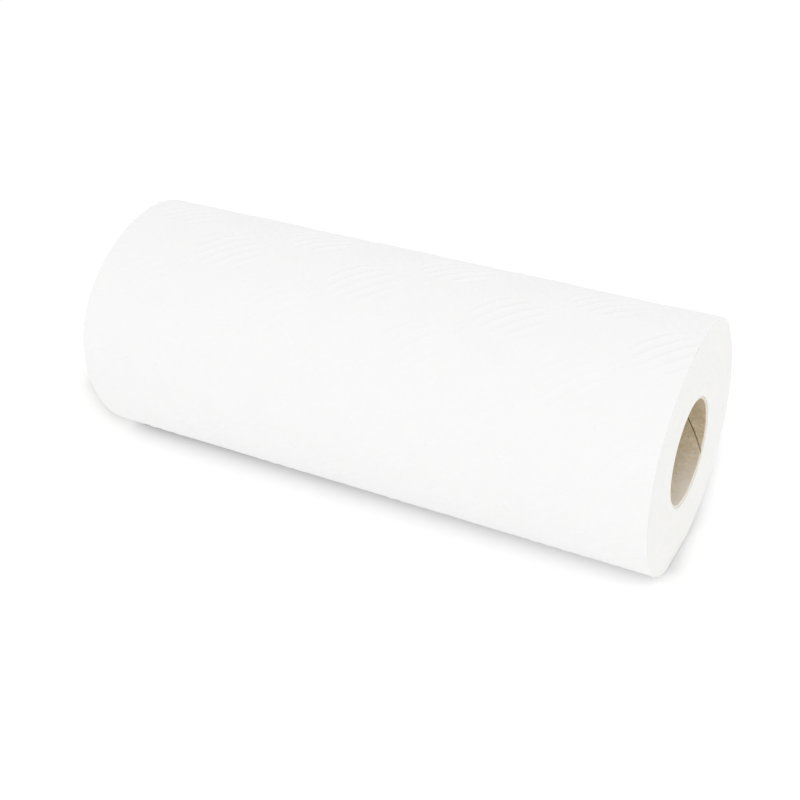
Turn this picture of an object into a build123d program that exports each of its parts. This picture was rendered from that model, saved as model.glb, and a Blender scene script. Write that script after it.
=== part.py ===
import os
from math import cos, radians, sin

from build123d import *

os.makedirs("parts", exist_ok=True)

# Paper towel roll lying on its side, in millimetres.
# The roll's axis runs along X, +Y is the back of the roll and +Z is up.
# The origin is under the middle of the roll, on the surface that it rests on.

# ---------------------------------------------------------------- dimensions
roll_length = 230.0  # width of the paper web, end face to end face
edge_radius = 0.9  # softened outer edge of the two sawn end faces

core_outer_d = 41.3  # outside of the cardboard tube, and bore of the paper
core_wall = 0.9  # thickness of the wound cardboard
core_recess = 0.5  # the tube ends this far inside each end face
core_y = -2.8  # the tube sits a little in front of the middle of the roll
core_z = 43.5  # height of the tube's axis above the resting surface
core_edge = 0.2  # broken edges of the cut tube

# Outline of the soft, slightly squashed winding, seen along -X: tangent arcs
# that run from the back end of the resting flat, up the back, over the top and
# down the front to the flat's other end. Each pair is a radius and the angle
# that the arc turns through. The front arc's radius is None, because it is the
# one that brings the outline back down to the resting surface.
outline_arcs = [
    (19.6, 18.0),  # soft back edge of the resting flat
    (57.0, 27.0),  # flattened low back
    (39.2, 45.0),  # back, below its widest point
    (49.3, 45.0),  # back, above its widest point
    (38.9, 45.0),  # shoulder at the top, towards the back
    (56.5, 45.0),  # flattened top, towards the front
    (38.6, 45.0),  # front, above its widest point
    (None, 45.0),  # front, below its widest point
    (38.1, 27.0),  # low front
    (14.0, 18.0),  # soft front edge of the resting flat
]

# ------------------------------------------------------ closing the outline
# An arc of radius r that starts at heading h and turns by t climbs
# r * (cos h - cos (h + t)). All the climbs together come to nothing.
climb_of_known = 0.0
climb_per_radius = 0.0
heading = 0.0
for radius, turn in outline_arcs:
    climb = cos(radians(heading)) - cos(radians(heading + turn))
    if radius is None:
        climb_per_radius = climb
    else:
        climb_of_known += radius * climb
    heading += turn
closing_radius = -climb_of_known / climb_per_radius
arcs = [(closing_radius if r is None else r, t) for r, t in outline_arcs]

# The back is widest after the third arc and the front after the seventh.
# The outline is set so that these two lie equally far from Y = 0.
reach = [0.0]
heading = 0.0
for radius, turn in arcs:
    reach.append(
        reach[-1]
        + radius * (sin(radians(heading + turn)) - sin(radians(heading)))
    )
    heading += turn
flat_back_y = -(reach[3] + reach[7]) / 2
flat_front_y = flat_back_y + reach[-1]

# --------------------------------------------------------------- paper roll
# All the turns of the web as one solid, bored through for the tube.
with BuildPart() as paper_roll:
    with BuildSketch(Plane.YZ.offset(-roll_length / 2)) as winding:
        with BuildLine() as outline:
            bend = JernArc(
                start=(flat_back_y, 0),
                tangent=(1, 0),
                radius=arcs[0][0],
                arc_size=arcs[0][1],
            )
            for radius, turn in arcs[1:]:
                bend = JernArc(
                    start=bend @ 1,
                    tangent=bend % 1,
                    radius=radius,
                    arc_size=turn,
                )
            Line(bend @ 1, (flat_back_y, 0))
        make_face()
        with Locations((core_y, core_z)):
            Circle(core_outer_d / 2, mode=Mode.SUBTRACT)
    extrude(amount=roll_length)
    rims = [
        rim_edge
        for end_face in paper_roll.faces().filter_by(Axis.X)
        for rim_edge in end_face.outer_wire().edges()
    ]
    fillet(rims, radius=edge_radius)

paper_roll.part.label = "paper_roll"

# ---------------------------------------------------------------- core tube
# Plain cardboard tube, glued into the first turn of paper all along its length.
core_length = roll_length - 2 * core_recess
with BuildPart() as core_tube:
    with BuildSketch(Plane.YZ.offset(-core_length / 2)):
        with Locations((core_y, core_z)):
            Circle(core_outer_d / 2)
            Circle(core_outer_d / 2 - core_wall, mode=Mode.SUBTRACT)
    extrude(amount=core_length)
    chamfer(core_tube.edges().filter_by(GeomType.CIRCLE), length=core_edge)

core_tube.part.label = "core_tube"

# ------------------------------------------------------------------- export
export_step(paper_roll.part, "parts/paper_roll.step")
export_step(core_tube.part, "parts/core_tube.step")

box = paper_roll.part.bounding_box()
print("winding", round(box.size.X, 2), round(box.size.Y, 2), round(box.size.Z, 2))
print("closing radius", round(closing_radius, 3))
print("resting flat from Y", round(flat_front_y, 2), "to", round(flat_back_y, 2))
print("paper volume", round(paper_roll.part.volume), "core volume", round(core_tube.part.volume))
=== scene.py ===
import math

import bpy
import numpy as np
from mathutils import Matrix, Vector


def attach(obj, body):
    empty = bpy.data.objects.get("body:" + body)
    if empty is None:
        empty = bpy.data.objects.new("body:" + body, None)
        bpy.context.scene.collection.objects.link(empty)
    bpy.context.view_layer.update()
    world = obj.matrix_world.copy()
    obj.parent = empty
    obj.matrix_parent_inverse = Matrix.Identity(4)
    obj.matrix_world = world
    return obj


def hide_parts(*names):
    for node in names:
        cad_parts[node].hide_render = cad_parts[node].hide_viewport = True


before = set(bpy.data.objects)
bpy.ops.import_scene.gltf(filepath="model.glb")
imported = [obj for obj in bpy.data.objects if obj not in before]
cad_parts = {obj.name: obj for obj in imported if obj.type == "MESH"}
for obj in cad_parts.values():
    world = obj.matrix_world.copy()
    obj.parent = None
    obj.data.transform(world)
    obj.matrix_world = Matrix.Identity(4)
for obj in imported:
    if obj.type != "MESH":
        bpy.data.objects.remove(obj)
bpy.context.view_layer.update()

# A paper towel roll lying on its side. Lengths below are in millimetres, and
# every mesh is scaled to metres when it is made. +X runs along the roll's axis,
# +Y is its back and +Z is up.
MM = 0.001

# ------------------------------------------------------------------ the roll
LENGTH = 230.0
EDGE = 0.9  # rounding of the outer edge at both ends
CORE_R = 20.65  # outside of the tube and bore of the paper
CORE_WALL = 0.9
CORE_RECESS = 0.5
CORE_Y, CORE_Z = -2.8, 43.5
OVAL, OVAL_A = 0.04, math.radians(137.0)  # the soft tube is a little out of round

# The winding's section: tangent arcs (radius, turn in degrees) from the back end
# of the resting flat, up the back, over the top and down the front.
FLAT_BACK_Y = 6.372385313952037
ARCS = [
    (19.6, 18.0),
    (57.0, 27.0),
    (39.2, 45.0),
    (49.3, 45.0),
    (38.9, 45.0),
    (56.5, 45.0),
    (38.6, 45.0),
    (49.51789766976411, 45.0),
    (38.1, 27.0),
    (14.0, 18.0),
]

_arc = []
_y, _z, _a, _s = FLAT_BACK_Y, 0.0, 0.0, 0.0
for _r, _turn in ARCS:
    _t = math.radians(_turn)
    _cy, _cz = _y - _r * math.sin(_a), _z + _r * math.cos(_a)
    _arc.append((_s, _r, _a, _cy, _cz))
    _s += _r * _t
    _a += _t
    _y, _z = _cy + _r * math.sin(_a), _cz - _r * math.cos(_a)
ARC_LENGTH = _s
FLAT_FRONT_Y = _y
GIRTH = ARC_LENGTH + FLAT_BACK_Y - FLAT_FRONT_Y
_arc = np.array(_arc)


def wall(s):
    """(y, z, normal y, normal z) of the section at arc length s, in mm."""
    s = np.mod(np.asarray(s, float), GIRTH)
    k = np.clip(np.searchsorted(_arc[:, 0], s, side="right") - 1, 0, len(_arc) - 1)
    s0, r, a, cy, cz = _arc[k].T.reshape(5, *s.shape)
    b = a + (s - s0) / r
    ny, nz = np.sin(b), -np.cos(b)
    y, z = cy + r * ny, cz + r * nz
    flat = s > ARC_LENGTH
    y = np.where(flat, FLAT_FRONT_Y + s - ARC_LENGTH, y)
    z = np.where(flat, 0.0, z)
    return y, z, np.where(flat, 0.0, ny), np.where(flat, -1.0, nz)


def step(a, b, x):
    """0 below a, 1 above b, smooth between."""
    t = np.clip((x - a) / (b - a), 0.0, 1.0)
    return t * t * (3 - 2 * t)


def waves(seed, count, longest, shortest):
    """A soft random function of two lengths in mm, about -1 to 1."""
    r = np.random.default_rng(seed)
    length = np.exp(r.uniform(np.log(shortest), np.log(longest), count))
    turn = r.uniform(0, 2 * np.pi, count)
    phase = r.uniform(0, 2 * np.pi, count)
    kx, ky = np.cos(turn) * 2 * np.pi / length, np.sin(turn) * 2 * np.pi / length

    def f(x, y):
        total = 0.0
        for i in range(count):
            total = total + np.cos(kx[i] * x + ky[i] * y + phase[i])
        return total / math.sqrt(count)

    return f


def oval(angle):
    """The tube's radius at an angle from up towards the back, over its mean."""
    return 1 + OVAL * np.cos(2 * (angle - OVAL_A))


# ---------------------------------------------------------------- the emboss
# The paper's relief over the flat web: x along the roll's axis, w along the web
# from its tail. Patches of fine ribs that lean one way and the other by turns,
# with small knobs where the patches meet.
TAIL_S = 100.0  # the tail's edge, at the upper back
SHEET = 230.0  # from the tail to the first row of perforations
CELL_X, CELL_W = 29.0, 20.5
CELL_X0, CELL_W0 = -96.0, 31.0
RIB_PITCH, RIB_LEAN = 4.1, math.radians(43.0)
RIB, RIB_LOW, KNOB = 0.50, 0.20, 0.25

soft_swell = waves(3, 9, 90.0, 24.0)
soft_crumple = waves(4, 14, 14.0, 5.0)
rib_drift = waves(5, 8, 40.0, 12.0)


def relief(x, w):
    """Height of the paper's face over its section, in mm."""
    i = np.round((x - CELL_X0) / CELL_X)
    j = np.round((w - CELL_W0) / CELL_W)
    u, v = x - CELL_X0 - i * CELL_X, w - CELL_W0 - j * CELL_W
    lean = np.where(np.mod(i + j, 2) == 0, -1.0, 1.0)
    c, s = math.cos(RIB_LEAN), math.sin(RIB_LEAN)
    along, across = u * c + v * s * lean, -u * s * lean + v * c
    bent = across + 0.008 * along**2 * lean + 0.10 * rib_drift(x, w)
    rib = (0.5 + 0.5 * np.cos(2 * np.pi * bent / RIB_PITCH)) ** 2.2
    rib = rib * (0.86 + 0.14 * np.cos(2 * np.pi * along / 2.5 + 1.7 * np.round(bent / RIB_PITCH)))
    size = (np.abs(u / 14.4) ** 2.6 + np.abs(v / 10.3) ** 2.6) ** (1 / 2.6)
    patch = 1 - step(0.80, 1.0, size)
    # crisp on the top, and pressed a little flatter down the front, where the roll
    # is handled
    crisp = step(16.0, 26.0, w) * (1 - step(34.0, 54.0, w))
    press = 1 + 0.45 * crisp - 0.55 * step(48.0, 72.0, w) * (1 - step(150.0, 190.0, w))
    deep = np.where(lean < 0, RIB, RIB_LOW + 0.20 * crisp)
    h = deep * press * patch * (rib - 0.30)

    # knobs in fours at the corners of the patches
    ku = x - CELL_X0 - (np.round((x - CELL_X0) / CELL_X - 0.5) + 0.5) * CELL_X
    kv = w - CELL_W0 - (np.round((w - CELL_W0) / CELL_W - 0.5) + 0.5) * CELL_W
    for du, dv in ((2.1, 0.0), (-2.1, 0.0), (0.0, 2.1), (0.0, -2.1)):
        d2 = ((ku - du) ** 2 + (kv - dv) ** 2) / 0.78**2
        h = h + KNOB * np.exp(-(d2**1.5))

    h = h + 0.040 * soft_swell(x, w) + 0.012 * soft_crumple(x, w)
    return h


PERF_PITCH, PERF_CUT = 2.6, 1.9


def face_height(x, w):
    """Relief with the tail, the perforations and the resting flat worked in."""
    h = relief(x, w)
    # the row of cuts, with the bonds left between them
    cut = np.abs(np.mod(x, PERF_PITCH) - PERF_PITCH / 2) < PERF_CUT / 2
    near = np.exp(-(((w - SHEET) / 0.42) ** 2))
    ease = np.exp(-(((w - SHEET) / 2.4) ** 2))
    h = h * (1 - 0.85 * ease) - 0.05 * ease - np.where(cut, 0.24, 0.07) * near
    # pressed flat where the roll rests, and under the tail
    s = np.mod(TAIL_S + w, GIRTH)
    rest = step(ARC_LENGTH - 12, ARC_LENGTH - 3, s) + (1 - step(3.0, 12.0, s)) * (s < 50)
    rest = np.clip(rest, 0, 1)
    h = h * (1 - 0.85 * rest) - 0.07 * rest
    under = step(GIRTH - 9.0, GIRTH - 1.0, w)
    h = h * (1 - 0.8 * under)
    # the last millimetres of the tail lie a little loose
    lift = np.clip(1 - w / 15.0, 0, 1) ** 2 * (1 - 0.9 * step(72.0, 108.0, np.abs(x)))
    h = h + lift * 0.30 * (0.55 + 0.45 * np.cos(x * 0.043 + 0.6) * np.cos(x * 0.017 - 1.1))
    return h


def dip(w):
    """How far the web has sunk below the section where it passes under the tail."""
    return 0.44 * step(SHEET - 4.0, GIRTH - 3.0, w)


# ----------------------------------------------------------------- mesh tools
def new_mesh(name, verts, quads, tris, normals=None, attributes=None):
    """A smooth-shaded object from mm vertices, quads and triangles. normals are
    those of the corners of the faces, quads first."""
    quads = np.asarray(quads, np.int32).reshape(-1, 4)
    tris = np.asarray(tris, np.int32).reshape(-1, 3)
    mesh = bpy.data.meshes.new(name)
    mesh.vertices.add(len(verts))
    mesh.vertices.foreach_set("co", (np.asarray(verts, float) * MM).astype(np.float32).ravel())
    corners = np.concatenate([quads.ravel(), tris.ravel()])
    mesh.loops.add(len(corners))
    mesh.loops.foreach_set("vertex_index", corners)
    starts = np.concatenate([np.arange(len(quads)) * 4, len(quads) * 4 + np.arange(len(tris)) * 3])
    mesh.polygons.add(len(starts))
    mesh.polygons.foreach_set("loop_start", starts.astype(np.int32))
    mesh.update(calc_edges=True)
    mesh.validate()
    mesh.polygons.foreach_set("use_smooth", np.ones(len(starts), bool))
    for key, values in (attributes or {}).items():
        layer = mesh.attributes.new(key, "FLOAT", "POINT")
        layer.data.foreach_set("value", np.asarray(values, np.float32))
    if normals is not None:
        mesh.normals_split_custom_set(np.asarray(normals, float))
    obj = bpy.data.objects.new(name, mesh)
    bpy.context.scene.collection.objects.link(obj)
    return obj


def unit(v):
    return v / np.maximum(np.linalg.norm(v, axis=-1, keepdims=True), 1e-12)


def face_normals(verts, faces):
    p = verts[faces]
    return unit(np.cross(p[:, 1] - p[:, 0], p[:, 2] - p[:, 0]))


# ------------------------------------------------------------ the outer turn
SHEET_THICK = 0.36
_phi = np.radians([40.0, 27.0, 13.0])
_straight = np.linspace(-(LENGTH / 2 - EDGE), LENGTH / 2 - EDGE, 507)
ACROSS_X = np.concatenate(
    [
        -(LENGTH / 2 - EDGE + EDGE * np.sin(_phi)),
        _straight,
        LENGTH / 2 - EDGE + EDGE * np.sin(_phi[::-1]),
    ]
)
ACROSS_IN = np.concatenate(
    [EDGE * (1 - np.cos(_phi)), np.zeros(len(_straight)), EDGE * (1 - np.cos(_phi[::-1]))]
)


def sheet_points(w, inset, with_relief):
    """Grid of points of the web, w by x."""
    y, z, ny, nz = wall(TAIL_S + w)
    W, X = np.meshgrid(w, ACROSS_X, indexing="ij")
    out = -(ACROSS_IN[None, :] + inset) - dip(W)
    if with_relief:
        out = out + face_height(X, W)
    return np.stack([X, y[:, None] + out * ny[:, None], z[:, None] + out * nz[:, None]], -1)


def border(fine, coarse, flip):
    """Triangles between a fine row of vertices and a coarse one below it."""
    k = (len(fine) - 1) // (len(coarse) - 1)
    out = []
    for c in range(len(coarse) - 1):
        for i in range(k):
            out.append((fine[c * k + i], fine[c * k + i + 1], coarse[c if i < k // 2 else c + 1]))
        out.append((fine[c * k + k // 2], coarse[c + 1], coarse[c]))
    out = np.array(out)
    return out[:, ::-1] if flip else out


def sheet_piece(name, w0, w1, rows, coarse=8):
    """A stretch of the web as a thin closed body: relief on its outer face."""
    w = np.linspace(w0, w1, rows + 1)
    dw = w[1] - w[0]
    top = sheet_points(w, 0.0, True)
    # normals from the section's own, tipped by the relief's slopes
    smooth = sheet_points(np.concatenate([[w0 - dw], w, [w1 + dw]]), 0.0, False)
    along_w = unit(smooth[2:] - smooth[:-2])
    along_x = unit(np.gradient(smooth[1:-1], axis=1))
    W, X = np.meshgrid(w, ACROSS_X, indexing="ij")
    e = 0.12
    slope_w = (face_height(X, W + e) - face_height(X, W - e)) / (2 * e)
    slope_x = (face_height(X + e, W) - face_height(X - e, W)) / (2 * e)
    normal = np.cross(along_w, along_x) - slope_w[..., None] * along_w - slope_x[..., None] * along_x
    normal = unit(normal)
    n_x = len(ACROSS_X)
    at = np.arange((rows + 1) * n_x).reshape(rows + 1, n_x)
    low = sheet_points(w[::coarse], SHEET_THICK, False)[:, ::coarse]
    bt = len(at.ravel()) + np.arange(low.shape[0] * low.shape[1]).reshape(low.shape[:2])
    verts = np.concatenate([top.reshape(-1, 3), low.reshape(-1, 3)])
    q_top = np.stack([at[:-1, :-1], at[1:, :-1], at[1:, 1:], at[:-1, 1:]], -1).reshape(-1, 4)
    q_low = np.stack([bt[:-1, :-1], bt[:-1, 1:], bt[1:, 1:], bt[1:, :-1]], -1).reshape(-1, 4)
    tris = np.concatenate(
        [
            border(at[0], bt[0], False),
            border(at[-1], bt[-1], True),
            border(at[:, 0], bt[:, 0], True),
            border(at[:, -1], bt[:, -1], False),
        ]
    )
    flat_normal = normal.reshape(-1, 3)
    corner_normals = np.concatenate(
        [
            flat_normal[q_top.ravel()],
            np.repeat(face_normals(verts, q_low), 4, axis=0),
            np.repeat(face_normals(verts, tris), 3, axis=0),
        ]
    )
    quads = np.concatenate([q_top, q_low])
    return new_mesh(name, verts, quads, tris, corner_normals)


sheets = [
    sheet_piece("tail_sheet_top", 0.0, SHEET / 3, 168),
    sheet_piece("tail_sheet_front", SHEET / 3, 2 * SHEET / 3, 168),
    sheet_piece("tail_sheet_base", 2 * SHEET / 3, SHEET, 168),
    sheet_piece("next_sheet_back", SHEET, GIRTH + 7.0, 144),
]

# ------------------------------------------------- the turns underneath it
# One closed body: both wound end faces, the bore and the wall under the last turn.
TURNS = 63
AROUND = 360


def winding():
    a = np.arange(AROUND) * 2 * np.pi / AROUND
    # outer wall at the same angle about the tube's axis
    s = np.linspace(0, GIRTH, 4001)[:-1]
    y, z, ny, nz = wall(s)
    w = np.mod(s - TAIL_S, GIRTH)
    sunk = 0.44 * np.maximum(step(SHEET - 4.0, GIRTH - 3.0, w), 1 - step(5.4, 7.2, w))
    sunk = sunk + 0.40
    oy, oz = y - sunk * ny, z - sunk * nz
    angle = np.unwrap(np.arctan2(oy - CORE_Y, -(oz - CORE_Z)))
    base = angle[0]
    turn = angle - base
    turns = np.concatenate([turn, [turn[0] + 2 * np.pi]])
    want = np.mod(a - base, 2 * np.pi)
    by = np.interp(want, turns, np.concatenate([oy, oy[:1]]))
    bz = np.interp(want, turns, np.concatenate([oz, oz[:1]]))
    bore = CORE_R * oval(np.pi - a)
    iy, iz = CORE_Y + bore * np.sin(a), CORE_Z - bore * np.cos(a)
    thick = np.hypot(by - iy, bz - iz)

    # rings from the bore outwards: a crest and a groove for each turn
    n = 2 * TURNS
    t = np.arange(n + 1) / n
    r = np.random.default_rng(11)
    drift = np.cumsum(r.normal(0, 0.22 / n, n + 1))
    drift -= drift[0] + (drift[-1] - drift[0]) * t
    t = t + drift
    ring_off = r.normal(0, 0.016, n + 1)
    ring_off[1::2] -= 0.034
    ph = r.uniform(0, 2 * np.pi, (n + 1, 3))
    am = np.abs(r.normal(0, 0.010, (n + 1, 3)))
    A = a[None, :]
    x = LENGTH / 2 + 0 * A + ring_off[:, None]
    for m, k in enumerate((2, 5, 11)):
        x = x + am[:, m : m + 1] * np.cos(k * A + ph[:, m : m + 1])
    band = 0.05 * np.cos(np.pi * 2 * 2.3 * t[:, None] + 0.8 * np.cos(A + 0.4))
    x = np.minimum(x + band - 0.06, LENGTH / 2 + 0.02)
    # the rounded outer edge, and the turned-in edge of the bore
    depth = (1 - t[:, None]) * thick[None, :] + 0.40
    fall = np.clip(1 - depth / EDGE, 0, 1)
    x = x - EDGE * (1 - np.sqrt(1 - fall**2))
    inner = t[:, None] * thick[None, :]
    x = x - 0.25 * np.clip(1 - inner / 0.45, 0, 1) ** 2
    weave = 0.05 * np.sin(A * 37 + t[:, None] * 90) * np.sin(t[:, None] * np.pi)
    tt = t[:, None] + weave * 0.5 / n
    ry = iy[None, :] + tt * (by - iy)[None, :]
    rz = iz[None, :] + tt * (bz - iz)[None, :]
    near = np.stack([x, ry, rz], -1)
    far_x = -np.roll(x, 71, axis=1)
    far_x = np.where(fall > 0, -x, far_x)
    far = np.stack([far_x, ry, rz], -1)

    cols = AROUND
    size = (n + 1) * cols
    i_near = np.arange(size).reshape(n + 1, cols)
    i_far = i_near + size
    nxt = np.roll(np.arange(cols), -1)

    def ring_quads(idx, flip):
        q = np.stack([idx[:-1], idx[1:], idx[1:][:, nxt], idx[:-1][:, nxt]], -1).reshape(-1, 4)
        return q[:, ::-1] if flip else q

    # walls with a few rows along the axis
    steps = np.linspace(0, 1, 7)[1:-1]
    verts = [near.reshape(-1, 3), far.reshape(-1, 3)]
    count = 2 * size
    strips = []
    for ring in (0, n):
        rows = [i_near[ring]]
        for f in steps:
            p = near[ring] * (1 - f) + far[ring] * f
            verts.append(p)
            rows.append(count + np.arange(cols))
            count += cols
        rows.append(i_far[ring])
        strips.append(np.array(rows))
    verts = np.concatenate(verts)
    quads = np.concatenate(
        [
            ring_quads(i_near, False),
            ring_quads(i_far, True),
            ring_quads(strips[0], True),
            ring_quads(strips[1], False),
        ]
    )
    # each ring's colour follows how far it is set in: a random tone for each turn, and the groove rings painted darker
    # as shade between the turns
    turn_tone_and_groove_shade = np.zeros(len(verts))
    ring_tone_and_groove_shade = np.clip(0.5 + ring_off * 6.0, 0, 1)
    turn_tone_and_groove_shade[:size] = np.repeat(ring_tone_and_groove_shade, cols)
    turn_tone_and_groove_shade[size : 2 * size] = np.repeat(ring_tone_and_groove_shade, cols)
    # the first turn is stained by the glue that holds it to the tube
    glue = np.zeros(len(verts))
    glue[strips[0].ravel()] = 1.0
    glue[i_near[0]], glue[i_far[0]] = 0.85, 0.85
    return new_mesh("paper_winding", verts, quads, [], None, {"turn": turn_tone_and_groove_shade, "glue": glue})


wound = winding()

# ------------------------------------------------------------- the core tube
SEAM_PITCH = 69.18  # axial advance of the spiral seam in one turn
SEAM_X, SEAM_A = 111.676, math.radians(104.91)


def core():
    half = LENGTH / 2 - CORE_RECESS
    inner = CORE_R - CORE_WALL
    outer = CORE_R - 0.02
    # columns follow the seam, close together beside it
    gap = np.array([-1.8, -1.1, -0.66, -0.42, -0.17, 0.17, 0.42, 0.66, 1.1, 1.8]) / inner
    rest = np.linspace(gap[-1], 2 * np.pi + gap[0], 148)[1:-1]
    cols = np.concatenate([gap, rest])
    groove = np.zeros(len(cols))
    groove[:10] = [0.0, -0.05, -0.09, 0.05, 0.42, 0.42, 0.10, 0.02, 0.0, 0.0]
    mark = np.zeros(len(cols))
    mark[:10] = [0, 0, 0.10, 0.75, 1, 1, 0.75, 0.10, 0, 0]
    close = np.array([0.0, 0.10, 0.22, 0.50])
    rows = np.concatenate([close - half, np.linspace(1.1 - half, half - 1.1, 177), (half - close)[::-1]])
    X, C = np.meshgrid(rows, cols, indexing="ij")
    A = C + SEAM_A + (X - SEAM_X) * 2 * np.pi / SEAM_PITCH
    r = np.random.default_rng(8)
    ph = r.uniform(0, 2 * np.pi, 8)
    wob = 0.035 * np.cos(2 * A + X * 0.021 + ph[0]) + 0.02 * np.cos(5 * A - X * 0.11 + ph[1])
    wob = wob + 0.012 * np.cos(17 * A + X * 0.33 + ph[2]) + 0.010 * np.cos(29 * A - X * 0.45 + ph[3])
    lip_edge = step(half - 0.20, half, np.abs(X))
    R = inner + groove[None, :] * (1 - 0.35 * lip_edge) + wob * 0.8 + 0.12 * lip_edge
    # the cut is not quite square and a little ragged
    ragged = 0.05 * np.cos(9 * A + ph[4]) + 0.04 * np.cos(23 * A + ph[5]) + 0.03 * np.cos(51 * A + ph[6])
    Xc = X + np.sign(X) * lip_edge * (ragged - 0.06)

    def at(radius, xx, ang):
        radius = radius * oval(ang)
        return np.stack([xx, CORE_Y + radius * np.sin(ang), CORE_Z + radius * np.cos(ang)], -1)

    inside = at(R, Xc, A)
    verts, n_c = [inside.reshape(-1, 3)], len(cols)
    # the seam is rubbed and closes up towards the mouths
    rubbed = 1 - 0.60 * step(half - 5.0, half - 0.5, np.abs(X))
    seam = [(mark[None, :] * rubbed).ravel()]
    cut = [(lip_edge * 0.7).ravel()]
    # paler towards the bottom of each mouth: paper dust from the saw, and painted light where light falls in over the
    # lip
    low_side = step(math.radians(92.0), math.radians(168.0), np.pi - np.abs(np.mod(A, 2 * np.pi) - np.pi))
    dust_and_painted_light = [(low_side * np.exp(-(half - np.abs(X)) / 16.0)).ravel()]
    i_in = np.arange(len(rows) * n_c).reshape(len(rows), n_c)
    count = i_in.size

    def ring(radius, xx, ang, cut_value, seam_value=0.0):
        nonlocal count
        verts.append(at(radius, xx, ang))
        seam.append(np.full(n_c, seam_value) * mark)
        cut.append(np.full(n_c, cut_value))
        dust_and_painted_light.append(np.zeros(n_c))
        idx = count + np.arange(n_c)
        count += n_c
        return idx

    loops = [i_in[k] for k in range(len(rows))]
    # over the cut at +X, back along the outside, over the cut at -X
    a1 = A[-1]
    loops.append(ring(inner + 0.30, half + 0.02 + ragged[-1] * 0.8, a1, 1.0))
    loops.append(ring(inner + 0.60, half - 0.01 + ragged[-1] * 0.9, a1, 1.0))
    loops.append(ring(outer - 0.06, half - 0.05 + ragged[-1] * 0.6, a1, 1.0))
    # the outside's columns turn by what is left over after the seam's whole turns
    turn_back = math.remainder(-(2 * half) * 2 * math.pi / SEAM_PITCH, 2 * math.pi)
    for f in np.linspace(1, 0, 25):
        xx = -half + 0.2 + (2 * half - 0.4) * f
        ang = a1 + (1 - f) * turn_back
        loops.append(ring(np.full(n_c, outer), np.full(n_c, xx), ang, 0.0))
    a0 = A[0]
    loops.append(ring(outer - 0.06, -(half - 0.05 + ragged[0] * 0.6), a0, 1.0))
    loops.append(ring(inner + 0.60, -(half - 0.01 + ragged[0] * 0.9), a0, 1.0))
    loops.append(ring(inner + 0.30, -(half + 0.02 + ragged[0] * 0.8), a0, 1.0))
    loops = np.array(loops)
    nxt = np.roll(np.arange(n_c), -1)
    a_ = loops
    b_ = np.roll(loops, -1, axis=0)
    quads = np.stack([a_, a_[:, nxt], b_[:, nxt], b_], -1).reshape(-1, 4)
    return new_mesh(
        "cardboard_core",
        np.concatenate(verts),
        quads,
        [],
        None,
        {"seam": np.concatenate(seam), "cut": np.concatenate(cut), "dust_and_painted_light": np.concatenate(dust_and_painted_light)},
    )


tube = core()


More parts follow.
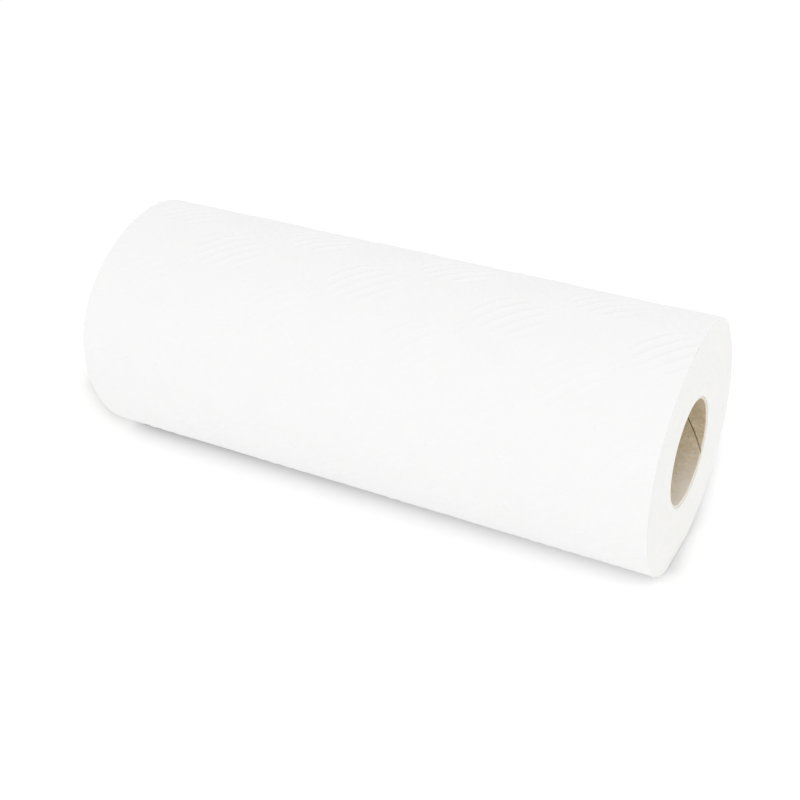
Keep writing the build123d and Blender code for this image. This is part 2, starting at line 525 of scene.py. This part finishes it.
# ------------------------------------------------------------------ materials
class Nodes:
    def __init__(self, name):
        self.mat = bpy.data.materials.new(name)
        self.mat.use_nodes = True
        self.tree = self.mat.node_tree
        self.tree.nodes.clear()
        self.out = self.add("ShaderNodeOutputMaterial")
        self.shader = self.add("ShaderNodeBsdfPrincipled")
        self.link(self.shader.outputs["BSDF"], self.out.inputs["Surface"])

    def add(self, kind, **values):
        node = self.tree.nodes.new(kind)
        for key, value in values.items():
            setattr(node, key, value)
        return node

    def link(self, a, b):
        self.tree.links.new(a, b)

    def noise(self, scale, detail=3.0, rough=0.55, stretch=(1, 1, 1), coords=None):
        """Noise of about 1/scale metres a feature, in the object's own space."""
        place = self.add("ShaderNodeMapping")
        place.inputs["Scale"].default_value = [scale * k for k in stretch]
        if coords is None:
            coords = self.add("ShaderNodeTexCoord").outputs["Object"]
        self.link(coords, place.inputs["Vector"])
        tex = self.add("ShaderNodeTexNoise")
        tex.inputs["Scale"].default_value = 1.0
        tex.inputs["Detail"].default_value = detail
        tex.inputs["Roughness"].default_value = rough
        self.link(place.outputs["Vector"], tex.inputs["Vector"])
        return tex.outputs["Fac"]

    def specks(self, scale, size, most):
        """A few small round specks: 0 to most, at the middles of scattered cells."""
        place = self.add("ShaderNodeMapping")
        place.inputs["Scale"].default_value = [scale] * 3
        self.link(self.add("ShaderNodeTexCoord").outputs["Object"], place.inputs["Vector"])
        tex = self.add("ShaderNodeTexVoronoi")
        tex.inputs["Scale"].default_value = 1.0
        self.link(place.outputs["Vector"], tex.inputs["Vector"])
        return self.remap(tex.outputs["Distance"], size * 0.5, size, most, 0.0)

    def ramp(self, fac, stops, interpolation="LINEAR"):
        node = self.add("ShaderNodeValToRGB")
        node.color_ramp.interpolation = interpolation
        el = node.color_ramp.elements
        while len(el) < len(stops):
            el.new(0.5)
        for e, (pos, colour) in zip(el, stops):
            e.position = pos
            e.color = (*colour, 1.0) if len(colour) == 3 else colour
        self.link(fac, node.inputs["Fac"])
        return node.outputs["Color"]

    def remap(self, value, a, b, c, d):
        node = self.add("ShaderNodeMapRange")
        for key, v in zip(("From Min", "From Max", "To Min", "To Max"), (a, b, c, d)):
            node.inputs[key].default_value = v
        self.link(value, node.inputs["Value"])
        return node.outputs["Result"]

    def math(self, op, a, b):
        node = self.add("ShaderNodeMath", operation=op)
        for socket, v in zip(node.inputs, (a, b)):
            if isinstance(v, (int, float)):
                socket.default_value = v
            else:
                self.link(v, socket)
        return node.outputs["Value"]

    def mix(self, fac, a, b, blend="MIX"):
        node = self.add("ShaderNodeMix", data_type="RGBA", blend_type=blend)
        for key, v in (("Factor", fac), ("A", a), ("B", b)):
            socket = [i for i in node.inputs if i.name == key and i.enabled][0]
            if isinstance(v, (int, float)):
                socket.default_value = v
            elif isinstance(v, tuple):
                socket.default_value = (*v, 1.0)
            else:
                self.link(v, socket)
        return [o for o in node.outputs if o.enabled][0]

    def attribute(self, name):
        return self.add("ShaderNodeAttribute", attribute_name=name).outputs["Fac"]

    def bump(self, height, strength, distance, normal=None):
        node = self.add("ShaderNodeBump")
        node.inputs["Strength"].default_value = strength
        node.inputs["Distance"].default_value = distance
        self.link(height, node.inputs["Height"])
        if normal is not None:
            self.link(normal, node.inputs["Normal"])
        return node.outputs["Normal"]


def set_shader(m, roughness=None, specular=0.2):
    m.shader.inputs["Specular IOR Level"].default_value = specular
    if roughness is not None:
        m.shader.inputs["Roughness"].default_value = roughness


def paper_material():
    """Soft white tissue: faint cloudy formation, crepe across the web, stray fibres."""
    m = Nodes("paper_face")
    cloud = m.noise(95.0, 4.0, 0.6)
    colour = m.ramp(cloud, [(0.30, PAPER_LOW), (0.70, PAPER_HIGH)])
    fibre = m.noise(620.0, 2.0, 0.5, (0.35, 1.0, 1.0))
    colour = m.mix(m.remap(fibre, 0.60, 0.82, 0.0, 0.05), colour, (0.80, 0.795, 0.78))
    colour = m.mix(m.specks(85.0, 0.020, 0.55), colour, (0.50, 0.46, 0.41))
    m.link(colour, m.shader.inputs["Base Color"])
    crepe = m.noise(1500.0, 3.0, 0.55, (0.10, 1.0, 1.0))
    grain = m.noise(3300.0, 2.0, 0.6)
    n = m.bump(crepe, 0.11, 0.00016)
    n = m.bump(grain, 0.07, 0.00010, n)
    m.link(n, m.shader.inputs["Normal"])
    m.link(m.remap(cloud, 0.25, 0.75, 0.86, 0.97), m.shader.inputs["Roughness"])
    set_shader(m, None, 0.15)
    return m.mat


def end_material():
    """The sawn edges of the turns: warmer, napped, each turn a shade of its own, and the groove rings between the
    turns painted darker as shade.
    """
    m = Nodes("paper_sawn_end")
    # the turn attribute carries painted shade in the grooves as well as each turn's own tone
    turn = m.attribute("turn")
    colour = m.ramp(turn, [(0.0, END_LOW), (0.55, END_MID), (1.0, END_HIGH)])
    nap = m.noise(1400.0, 4.0, 0.65, (0.4, 1.0, 1.0))
    colour = m.mix(m.remap(nap, 0.35, 0.75, 0.0, 0.16), colour, (0.905, 0.90, 0.885))
    cloud = m.noise(70.0, 3.0, 0.6)
    colour = m.mix(m.remap(cloud, 0.35, 0.70, 0.0, 0.10), colour, END_CLOUD)
    colour = m.mix(m.math("MULTIPLY", m.attribute("glue"), 0.75), colour, (0.80, 0.75, 0.67))
    m.link(colour, m.shader.inputs["Base Color"])
    n = m.bump(nap, 0.30, 0.00015)
    n = m.bump(m.noise(4200.0, 2.0, 0.6), 0.22, 0.00008, n)
    m.link(n, m.shader.inputs["Normal"])
    m.link(m.remap(nap, 0.2, 0.8, 0.88, 0.99), m.shader.inputs["Roughness"])
    set_shader(m, None, 0.10)
    return m.mat


def card_material():
    """Grey-brown kraft board: long fibres along the ply, flecks, a dark open seam
    and a pale, rubbed cut."""
    m = Nodes("kraft_board")
    cloud = m.noise(160.0, 4.0, 0.6)
    fibre = m.noise(900.0, 4.0, 0.62, (0.45, 1.0, 1.0))
    both = m.math("ADD", m.math("MULTIPLY", cloud, 0.5), m.math("MULTIPLY", fibre, 0.5))
    colour = m.ramp(both, [(0.37, CARD_LOW), (0.50, CARD_MID), (0.63, CARD_HIGH)])
    pale = m.noise(1500.0, 1.0, 0.5, (0.3, 1.0, 1.0))
    colour = m.mix(m.remap(pale, 0.58, 0.76, 0.0, 0.55), colour, (0.86, 0.79, 0.67))
    dark = m.noise(1150.0, 1.0, 0.5)
    colour = m.mix(m.remap(dark, 0.69, 0.80, 0.0, 0.75), colour, (0.17, 0.115, 0.06))
    grit = m.noise(2300.0, 2.0, 0.6)
    colour = m.mix(m.remap(grit, 0.52, 0.74, 0.0, 0.50), colour, (0.36, 0.285, 0.185))
    # the bottom of each mouth is made paler: part saw dust, part painted light
    colour = m.mix(m.math("MULTIPLY", m.attribute("dust_and_painted_light"), 0.88), colour, (0.90, 0.855, 0.775))
    colour = m.mix(m.math("MULTIPLY", m.attribute("cut"), 0.80), colour, (0.84, 0.80, 0.73))
    colour = m.mix(m.math("MULTIPLY", m.attribute("seam"), 0.88), colour, (0.13, 0.085, 0.045))
    m.link(colour, m.shader.inputs["Base Color"])
    n = m.bump(fibre, 0.35, 0.00018)
    n = m.bump(m.noise(3600.0, 2.0, 0.6), 0.20, 0.00008, n)
    m.link(n, m.shader.inputs["Normal"])
    m.link(m.remap(fibre, 0.3, 0.7, 0.78, 0.92), m.shader.inputs["Roughness"])
    set_shader(m, None, 0.18)
    return m.mat


PAPER_LOW, PAPER_HIGH = (0.860, 0.860, 0.858), (0.870, 0.870, 0.868)
END_LOW, END_MID, END_HIGH = (0.834, 0.831, 0.812), (0.851, 0.848, 0.832), (0.863, 0.860, 0.844)
END_CLOUD = (0.816, 0.816, 0.790)
CARD_LOW, CARD_MID, CARD_HIGH = (0.535, 0.437, 0.292), (0.645, 0.542, 0.377), (0.765, 0.671, 0.508)

face_mat, end_mat, card_mat = paper_material(), end_material(), card_material()
for piece in sheets:
    piece.data.materials.append(face_mat)
    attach(piece, "root")
    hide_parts("paper_roll")
wound.data.materials.append(end_mat)
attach(wound, "root")
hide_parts("paper_roll")
tube.data.materials.append(card_mat)
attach(tube, "root")
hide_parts("core_tube")

# ---------------------------------------------------------------------- stage
FLOOR_COLOUR = 0.78
WORLD = 0.992
KEY, KEY_SIZE = 1.76, 0.7
FILL, FILL_SIZE = 0.8, 0.7
BACK, BACK_SIZE = 0.75, 0.5
# the floor's own glow by distance from where the roll stands: emission that stands in for light, left out near the
# roll as a painted shadow
FLOOR_GLOW_PAINTED_SHADOW = [(0, 0.0), (4, 0.04), (7.4, 0.145), (11, 0.21), (14, 0.245), (20, 0.285), (40, 0.285), (80, 0.24), (160, 0.215)]

# the sides of the painted shadow, as a direction that lengthens the distance and where it
# starts; it trails off to the back and the left, away from the key light
PAINTED_SHADOW_EDGES = [
    ((1.83, 0.2, 0.0), 207.8),
    ((0.022, -1.0, 0.0), 12.6),
    ((-1.01, -1.43, 0.0), 153.5),
    ((-1.0, 0.0, 0.0), 150.0),
    ((0.0, 0.2, 0.0), 8.0),
]


def floor_piece():
    mesh = bpy.data.meshes.new("floor")
    h, z = 6.0, -0.00006
    mesh.from_pydata([(-h, -h, z), (h, -h, z), (h, h, z), (-h, h, z)], [], [(0, 1, 2, 3)])
    obj = bpy.data.objects.new("floor", mesh)
    bpy.context.scene.collection.objects.link(obj)
    m = Nodes("pale_floor_painted_shadow")
    m.shader.inputs["Base Color"].default_value = (FLOOR_COLOUR, FLOOR_COLOUR, FLOOR_COLOUR, 1)
    # the floor glows though it is no lamp, and the glow fades near the roll into a painted shadow
    m.shader.inputs["Emission Strength"].default_value = 1.0
    place = m.add("ShaderNodeTexCoord").outputs["Object"]
    total = None
    for across, edge in PAINTED_SHADOW_EDGES:
        dot = m.add("ShaderNodeVectorMath", operation="DOT_PRODUCT")
        m.link(place, dot.inputs[0])
        dot.inputs[1].default_value = across
        d = m.math("MAXIMUM", m.math("SUBTRACT", dot.outputs["Value"], edge * MM), 0.0)
        d = m.math("MULTIPLY", d, d)
        total = d if total is None else m.math("ADD", total, d)
    d = m.math("SQRT", total, 0.0)
    far = FLOOR_GLOW_PAINTED_SHADOW[-1][0]
    stops = [(mm / far, (e, e, e)) for mm, e in FLOOR_GLOW_PAINTED_SHADOW]
    m.link(m.ramp(m.math("DIVIDE", d, far * MM), stops), m.shader.inputs["Emission Color"])
    set_shader(m, 1.0, 0.0)
    mesh.materials.append(m.mat)
    return obj


floor_piece()

world = bpy.data.worlds.new("studio")
world.use_nodes = True
back = world.node_tree.nodes.get("Background")
if back is None:
    back = world.node_tree.nodes.new("ShaderNodeBackground")
    out = world.node_tree.nodes.new("ShaderNodeOutputWorld")
    world.node_tree.links.new(back.outputs["Background"], out.inputs["Surface"])
back.inputs["Color"].default_value = (1.0, 1.0, 1.0, 1.0)
back.inputs["Strength"].default_value = WORLD
bpy.context.scene.world = world


def soft_light(name, place, aim, size, power, colour=(1, 1, 1)):
    data = bpy.data.lights.new(name, "AREA")
    data.shape = "SQUARE"
    data.size = size
    data.energy = power
    data.color = colour
    obj = bpy.data.objects.new(name, data)
    obj.location = place
    obj.rotation_euler = (Vector(aim) - Vector(place)).to_track_quat("-Z", "Y").to_euler()
    bpy.context.scene.collection.objects.link(obj)
    return obj


def around(azimuth, elevation, distance, aim=(0.0, 0.0, 0.045)):
    a, e = math.radians(azimuth), math.radians(elevation)
    d = Vector((math.sin(a) * math.cos(e), -math.cos(a) * math.cos(e), math.sin(e)))
    return Vector(aim) + d * distance


soft_light("key", around(43.0, 44.0, 1.5), (0.0, 0.0, 0.045), KEY_SIZE, KEY)
soft_light("fill", around(-20.0, 14.0, 1.5), (0.0, 0.0, 0.045), FILL_SIZE, FILL)
soft_light("back", around(133.0, 11.0, 1.5), (0.0, 0.0, 0.045), BACK_SIZE, BACK)

# --------------------------------------------------------------------- camera
cam_data = bpy.data.cameras.new("camera")
cam_data.sensor_width = 36.0
cam_data.lens = 60.72
cam_data.clip_start = 0.01
cam = bpy.data.objects.new("camera", cam_data)
bpy.context.scene.collection.objects.link(cam)
cam.location = (0.20946, -0.39795, 0.29645)
forward = Vector((-0.4016, 0.76251, -0.50724)).normalized()
right = forward.cross(Vector((0, 0, 1))).normalized()
upward = right.cross(forward)
cam.matrix_world = Matrix(
    (
        (right.x, upward.x, -forward.x, cam.location.x),
        (right.y, upward.y, -forward.y, cam.location.y),
        (right.z, upward.z, -forward.z, cam.location.z),
        (0, 0, 0, 1),
    )
)
bpy.context.scene.camera = cam

view = bpy.context.scene.view_settings
view.view_transform = "Standard"
view.look = "None"
view.exposure = 0.0
view.gamma = 1.0

bpy.context.view_layer.update()
